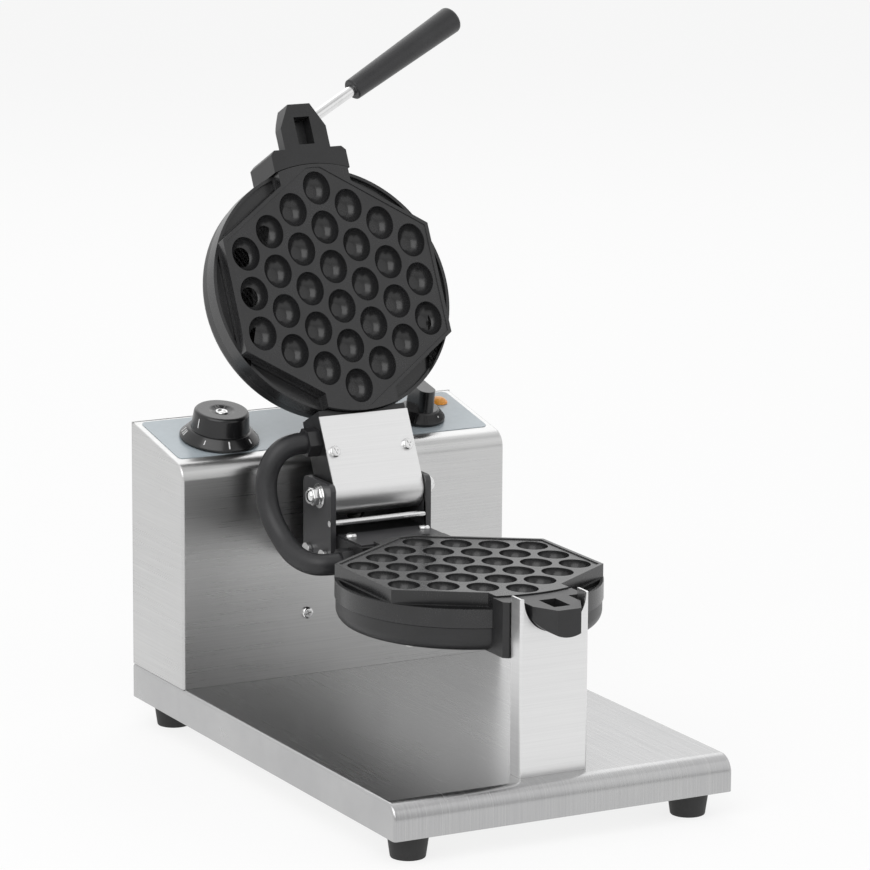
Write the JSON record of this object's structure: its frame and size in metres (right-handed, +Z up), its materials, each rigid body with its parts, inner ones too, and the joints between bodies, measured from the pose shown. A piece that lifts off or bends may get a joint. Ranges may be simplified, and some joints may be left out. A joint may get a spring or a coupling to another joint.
{
  "type": "bubble waffle maker",
  "caption": "Counter-top bubble waffle iron: hinged round cell moulds on a stainless base with a control box, knobs and a side handle.",
  "frame": {"origin": "on the floor plane under the middle of the base, at the centre of the rectangle of the feet", "axes": "+X to the machine's right, +Y to the back where the control box is, +Z up"},
  "size_m": [0.2676, 0.4267, 0.4861],
  "materials": {
    "stainless": "brushed stainless sheet",
    "cast_black": "black non-stick coated casting",
    "black_paint": "satin black paint",
    "rubber_black": "matte black rubber",
    "conduit_black": "black flexible sleeve",
    "knob_black": "glossy black phenolic",
    "grip_black": "satin black phenolic",
    "film_grey": "pale blue-grey film",
    "lamp_amber": "amber lens",
    "bright_steel": "bright steel",
    "zinc": "zinc plated steel",
    "white_plastic": "white plastic",
    "steel_tube": "heat-tinted steel tube",
    "brass_bush": "bronze"
  },
  "bodies": {
    "base": {"base_tray": "stainless", "base_cover": "zinc", "rubber_feet": "rubber_black", "foot_screws": "zinc", "control_box": "stainless", "rear_cover": "stainless", "rear_cover_screws": "bright_steel", "box_front_screws": "bright_steel", "panel_film": "film_grey", "front_post": "stainless", "post_screws": "bright_steel", "lower_mould_plate": "cast_black", "lower_heater_cover": "black_paint", "lower_heating_element": "steel_tube", "lower_cover_screws": "zinc", "lower_arm_cover": "black_paint", "lower_arm_screws": "bright_steel", "hinge_bracket": "black_paint", "bracket_bolts": "bright_steel", "pivot_bolt": "bright_steel", "pivot_nuts": "bright_steel", "pivot_washers": "bright_steel", "stop_bar": "bright_steel", "spindle": "zinc", "spindle_flange": "black_paint", "flange_screws": "bright_steel", "thermostat_body": "zinc", "timer_body": "zinc", "lamp_lens": "lamp_amber", "lamp_body": "white_plastic", "terminal_block": "white_plastic", "cable_gland": "grip_black", "gland_nut": "grip_black", "conduit": "conduit_black", "lower_conduit_fitting": "grip_black"},
    "lid": {"upper_mould_plate": "cast_black", "upper_heater_cover": "black_paint", "upper_heating_element": "steel_tube", "upper_cover_screws": "zinc", "upper_arm_cover": "stainless", "upper_arm_screws": "bright_steel", "pivot_bushes": "brass_bush", "upper_conduit_fitting": "grip_black", "handle_rod": "bright_steel", "handle_grip": "grip_black"},
    "thermostat_dial": {"thermostat_knob": "knob_black", "knob_cap": "bright_steel", "thermostat_shaft": "zinc"},
    "timer_dial": {"timer_knob": "knob_black", "timer_shaft": "zinc"}
  },
  "joints": [
    {"name": "lid_hinge", "type": "hinge", "parent": "base", "child": "lid", "pos_m": [0, 0.0779, 0.177], "axis": [1, 0, 0], "range_deg": [0, 117], "deforming": ["conduit"]},
    {"name": "thermostat_turn", "type": "hinge", "parent": "base", "child": "thermostat_dial", "pos_m": [-0.078, 0.1538, 0.20663], "axis": [0, -0.204, 0.979], "range_deg": [-270, 0]},
    {"name": "timer_turn", "type": "hinge", "parent": "base", "child": "timer_dial", "pos_m": [0.078, 0.1538, 0.20663], "axis": [0, -0.204, 0.979], "range_deg": [-300, 0]}
  ]
}
